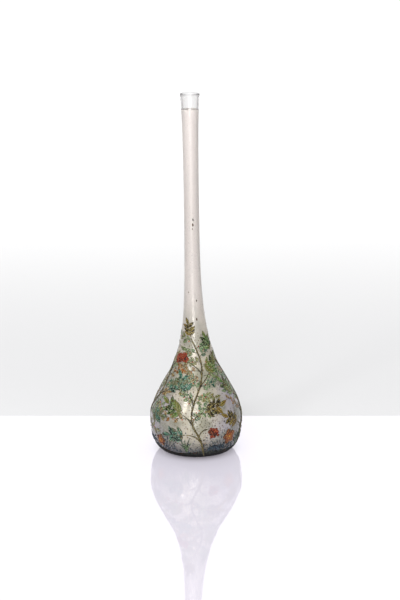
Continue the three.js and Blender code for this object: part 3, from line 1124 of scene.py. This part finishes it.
def leafEnamel(name):
    p = leafPaint
    material, tree = newMaterial(name + " leaf enamel")
    along, across, tone = drawn(tree, "along", "across", "tone")
    colour, pools, grain = firedColours(tree, name, tone)
    rust = ranged(cloud(tree, place(tree), p["rustScale"], 2) + tone * 0.15, 0.56, 0.68)
    colour = washed(colour, rust, p["rust"])
    aside = across.math("ABSOLUTE")
    midrib = 1 - ranged(aside, *p["midrib"])
    slant = (along * p["veins"] - aside * p["veinSlant"]) * (2 * math.pi)
    veins = ranged(slant.math("SINE"), 0.72, 0.95) * ranged(aside, 1, 0.6)
    lines = midrib.math("MAXIMUM", veins * 0.7).math("MAXIMUM", ranged(aside, *p["outline"]))
    colour = lined(colour, lines * ranged(grain, 0.25, 0.55, (0.45, 0.9)))
    height = pools * 0.6 + grain * 0.4 - midrib * 0.5 - veins * 0.3
    return enamelled(material, colour, grain, height, p["bump"])


# Undergrowth: leaflets of teal, olive or russet up to a tone of 0.8, then red buds and brown tendrils,
# all thinly fired, so duller than the leaves
undergrowthPaint = {
    "hues": [(0, "35584c"), (0.3, "56704a"), (0.55, "6e6434"), (0.8, "7e4c26"), (0.92, "b93c1a"),
             (1, "3a3220")],
    "pale": ("bcbe98", 0.68),
    "midrib": (0.06, 0.22),
    "outline": (0.72, 0.95),
    "bump": 0.1 * mm,
}


def undergrowthEnamel():
    p = undergrowthPaint
    material, tree = newMaterial("undergrowth enamel")
    across, tone = drawn(tree, "across", "tone")
    pools, grain = firedClouds(tree)
    stops = [(at, srgb(code)) for at, code in p["hues"]]
    colour = addNode(tree, "ShaderNodeValToRGB", {"stops": stops}, {0: tone})
    colour = lined(colour, ranged(pools, 0.6, 0.35) * 0.7)
    colour = washed(colour, ranged(grain, 0.48, 0.64), p["pale"])
    aside = across.math("ABSOLUTE")
    lines = (1 - ranged(aside, *p["midrib"])).math("MAXIMUM", ranged(aside, *p["outline"]))
    height = pools * 0.6 + grain * 0.4 - lines * 0.3
    return enamelled(material, lined(colour, lines * 0.7), grain, height, p["bump"])


# Berries: round drops with a dark five-pointed eye and a deep red rim
berryPaint = {
    "rim": ("3a0e08", 0.9),
    "eye": (0.16, 0.3),
    "bump": 0.12 * mm,
}


def berryEnamel():
    p = berryPaint
    material, tree = newMaterial("berry enamel")
    along, across, tone = drawn(tree, "along", "across", "tone")
    colour, pools, grain = firedColours(tree, "berry", tone)
    eye = 1 - ranged(along - across * 0.1, *p["eye"])
    colour = washed(colour, ranged(along, 0.8, 0.98), p["rim"])
    return enamelled(material, lined(colour, eye), grain, pools * 0.5 - eye, p["bump"])


# Petals: ribs that fan out from a red-brown heart, and a yellow eye and stamens
petalPaint = {
    "heart": ("7e2610", 0.7),
    "ribs": ("6b2410", 0.55),
    "ribCount": 5,
    "outline": (0.86, 0.98),
    "eye": ("c9a030", 1),
    "bump": 0.12 * mm,
}


def petalEnamel():
    p = petalPaint
    material, tree = newMaterial("petal enamel")
    along, across, tone = drawn(tree, "along", "across", "tone")
    colour, pools, grain = firedColours(tree, "amber", tone)
    wave = (across * (p["ribCount"] * math.pi)).math("COSINE")
    ribs = ranged(wave, 0.55, 0.9) * ranged(along, 0.95, 0.6)
    colour = washed(colour, 1 - ranged(along, 0.15, 0.55), p["heart"])
    colour = washed(colour, ribs, p["ribs"])
    colour = lined(colour, ranged(across.math("ABSOLUTE"), *p["outline"]) * 0.8)
    colour = washed(colour, ranged(tone, 0.8, 0.9), p["eye"])
    height = pools * 0.6 + grain * 0.4 - ribs * 0.5
    return enamelled(material, colour, grain, height, p["bump"])


# Stems and grass: streaks along their length, darker at the sides
def streakedEnamel(name):
    material, tree = newMaterial(name + " enamel")
    across, tone = drawn(tree, "across", "tone")
    colour, pools, grain = firedColours(tree, name, tone)
    sides = ranged(across.math("ABSOLUTE"), 0.55, 0.95)
    streaks = ranged((across * 7 + pools * 5).math("SINE"), 0.3, 0.9)
    colour = lined(lined(colour, sides * 0.5), streaks * 0.35)
    return enamelled(material, colour, grain, grain - streaks * 0.4, 0.1 * mm)


# Moss and spatter: lumps that darken towards their rims
def lumpyEnamel(name):
    material, tree = newMaterial(name + " enamel")
    along, tone = drawn(tree, "along", "tone")
    colour, pools, grain = firedColours(tree, name, tone)
    colour = lined(colour, ranged(along, 0.7, 1) * 0.7)
    return enamelled(material, colour, grain, grain, 0.08 * mm)


# Ground: near-black to grey-green, with brown grains and a few rusty ones, and blackest at the foot
groundPaint = {
    "toneScale": 90,
    "speckScale": 900,
    "brown": ("3b3020", 0.7),
    "rust": ("8a4a26", 0.8),
    "rustScale": 160,
    "foot": ("040405", 0.97),
    "footHeights": (3 * mm, 10.5 * mm),
    "bump": 0.25 * mm,
    "ior": 1.2,
    "roughness": (0.5, 0.75),
}


def groundEnamel():
    p = groundPaint
    material, tree = newMaterial("ground enamel")
    at = place(tree)
    colour, pools, grain = firedColours(tree, "ground", cloud(tree, at, p["toneScale"], 2))
    brown = 1 - ranged(cells(tree, at, p["speckScale"]), 0.18, 0.34)
    rusty = brown * ranged(cloud(tree, at, p["rustScale"], 1), 0.52, 0.62)
    foot = 1 - ranged(axisOf(at, "Z"), *p["footHeights"])
    for share, wash in ((brown, p["brown"]), (rusty, p["rust"]), (foot, p["foot"])):
        colour = washed(colour, share, wash)
    height = pools + grain * 0.5 + brown * 0.4
    return enamelled(material, colour, grain, height, p["bump"], p["ior"], p["roughness"])


finishes = {name: leafEnamel(name) for name in ("teal", "green", "olive")}
finishes |= {name: streakedEnamel(name) for name in ("stem", "grass")}
finishes |= {name: lumpyEnamel(name) for name in ("moss", "spatter")}
finishes |= {"berry": berryEnamel(), "amber": petalEnamel(), "undergrowth": undergrowthEnamel()}


# The enamel of one side, where each drawing's seed is counted on from the side's own
def enamelOn(side, design, azimuth, seed):
    start = sprigField["start"]

    def lay(kind, drawing, finish, degrees=0, length=start, heading=0):
        name = side + "".join(word.capitalize() for word in kind.split("_"))
        mesh = drawing.laidAs(name, azimuth + degrees, length, heading)
        addPiece(name, mesh, finishes[finish], "enamel_" + finish, f"{side}_{kind}")

    lay("stem", stemDrawing(design, seed), "stem")
    name = side + "Undergrowth"
    undergrowth = undergrowthDrawing(design, seed + 50).laidAs(name, azimuth, start)
    addPiece(name, undergrowth, finishes["undergrowth"], "enamel_green")
    for i, (_, (degrees, way), heading, size, shade) in enumerate(design["leaves"], 1):
        lay(f"leaf_{i}", leafDrawing(size, seed + i), shade, degrees, wayUp(way), heading)
    for i, (_, (degrees, way), heading, size) in enumerate(design["berries"], 1):
        lay(f"berries_{i}", berryDrawing(size, seed + i), "berry", degrees, wayUp(way), heading)
    (degrees, way), heading, size = design["blossom"]
    lay("blossom", blossomDrawing(size, seed + 20), "amber", degrees, wayUp(way), heading)
    lay("moss", mossDrawing(seed + 30), "moss", design["moss"], lengthAt(growthMake["tuftHeight"]))
    lay("grass", grassDrawing(seed + 40), "grass", design["grass"])


addPiece("groundBand", groundMesh(), groundEnamel(), "enamel_ground", "ground_band")
for number, (side, (design, azimuth)) in enumerate(sprigs.items()):
    enamelOn(side, design, azimuth, 100 * number)
addPiece("spatter", spatterDrawing().laidAs("spatter", 0, 0), finishes["spatter"], "enamel_stem")
print("enamel made")


# Stage: a white shining table that is lit from within, a pale floor behind it, a sky that is dark to
# the sides, two lights, of which the spark makes the bulb's highlight, and the photograph's view
stageSet = {
    "tableBack": 96 * mm,
    "tableColour": "8c8a92",
    "tableGlow": "f8f3ff",
    "glowPower": 0.47,
    "tableRoughness": 0.03,
    "tableIor": 1.85,
    "footShade": (21 * mm, 46 * mm),
    "shadeColour": "6f6a70",
    "floorNear": "d3d3d4",
    "floorFar": "fdfdfd",
    "floorTurn": (0.15, 1.6),
    "sideColour": "a8a8a9",
    "sideTurn": (0.35, 1.3),
    "reach": 16.0,
    "skyTurn": (0.3, 0.95),
    "skySide": 0.02,
    "skyFront": 1.12,
    "skyBack": 1.5,
    "skyTop": 1.3,
    "keyAt": (-0.15, -1.4, 0.45),
    "keyAim": (0, 0, 0.2),
    "keySize": (0.55, 1.0),
    "keyPower": 13,
    "sparkAt": (-0.72, -1.08, 0.76),
    "sparkAim": (0, 0, 0.05),
    "sparkSize": (0.2, 0.34),
    "sparkPower": 3.5,
    "bounces": 32,
}
view = {
    "at": (3.75 * mm, -1.483, 0.536),
    "pitch": 14.57,
    "focalPixels": 1586,
    "photoHeight": 600,
    "sensor": 36,
}


def addSheet(name, low, high, material):
    bm = bmesh.new()
    bmesh.ops.create_grid(bm, x_segments=1, y_segments=1, size=0.5)
    bmesh.ops.scale(bm, vec=(high[0] - low[0], high[1] - low[1], 1), verts=bm.verts)
    middle = ((low[0] + high[0]) / 2, (low[1] + high[1]) / 2, 0)
    bmesh.ops.translate(bm, vec=middle, verts=bm.verts)
    mesh = bpy.data.meshes.new(name)
    bm.to_mesh(mesh)
    bm.free()
    sheet = bpy.data.objects.new(name, mesh)
    mesh.materials.append(material)
    scene.collection.objects.link(sheet)


# The floor and table dim to either side, out of the photograph's view, so the glass has darker edges
def dimmedAside(tree, colour):
    at = place(tree)
    aside = axisOf(at, "X").math("ABSOLUTE") - axisOf(at, "Y") * 0.2
    return mixed(ranged(aside, *stageSet["sideTurn"]), colour, srgb(stageSet["sideColour"]))


# The glow leaves no dark ring round the foot. The grey painted there stands for the contact shadow.
def tableSurface():
    s = stageSet
    material, tree = newMaterial("white table")
    at = place(tree)
    away = addNode(tree, "ShaderNodeVectorMath", {"operation": "LENGTH"}, {0: at}, output="Value")
    glow = dimmedAside(tree, srgb(s["tableGlow"]))
    return surfaced(material, {
        "Base Color": dimmedAside(tree, srgb(s["tableColour"])),
        "Emission Color": mixed(ranged(away, *s["footShade"]), srgb(s["shadeColour"]), glow),
        "Emission Strength": s["glowPower"],
        "Roughness": s["tableRoughness"],
        "IOR": s["tableIor"],
    })


def floorSurface():
    s = stageSet
    material, tree = newMaterial("pale floor")
    far = ranged(axisOf(place(tree), "Y"), *s["floorTurn"])
    colour = dimmedAside(tree, mixed(far, srgb(s["floorNear"]), srgb(s["floorFar"])))
    return surfaced(material, {"Base Color": colour, "Roughness": 0.9})


def makeSky():
    s = stageSet
    world = bpy.data.worlds.new("studio")
    world.use_nodes = True
    tree = world.node_tree
    tree.nodes.clear()
    toward = addNode(tree, "ShaderNodeTexCoord", output="Generated")
    back, up = axisOf(toward, "Y"), axisOf(toward, "Z")

    def lit(facing, light):
        return ranged(facing, *s["skyTurn"], (0, light - s["skySide"]))

    strength = lit(back, s["skyBack"]) + lit(back * -1, s["skyFront"]) + lit(up, s["skyTop"])
    inputs = {"Color": (1, 1, 1, 1), "Strength": strength + s["skySide"]}
    sky = addNode(tree, "ShaderNodeBackground", {}, inputs)
    addNode(tree, "ShaderNodeOutputWorld", {}, {"Surface": sky})
    scene.world = world


def addLight(name):
    light = bpy.data.lights.new(name, "AREA")
    light.shape = "RECTANGLE"
    light.size, light.size_y = stageSet[name + "Size"]
    light.energy = stageSet[name + "Power"]
    lamp = bpy.data.objects.new(name, light)
    at, aim = Vector(stageSet[name + "At"]), Vector(stageSet[name + "Aim"])
    lamp.location = at
    lamp.rotation_euler = (aim - at).to_track_quat("-Z", "Y").to_euler()
    scene.collection.objects.link(lamp)


def setStage():
    s = stageSet
    reach = s["reach"]
    addSheet("tableTop", (-reach, -reach), (reach, s["tableBack"]), tableSurface())
    addSheet("floor", (-reach, s["tableBack"]), (reach, reach), floorSurface())
    makeSky()
    addLight("key")
    addLight("spark")
    scene.view_settings.view_transform = "Standard"
    scene.cycles.max_bounces = s["bounces"]
    scene.cycles.transmission_bounces = s["bounces"]


def setCamera():
    camera = bpy.data.cameras.new("camera")
    camera.sensor_width = view["sensor"]
    camera.lens = view["focalPixels"] / view["photoHeight"] * view["sensor"]
    eye = bpy.data.objects.new("camera", camera)
    eye.location = view["at"]
    eye.rotation_euler = (math.radians(90 - view["pitch"]), 0, 0)
    scene.collection.objects.link(eye)
    scene.camera = eye


setStage()
setCamera()
print("stage set")
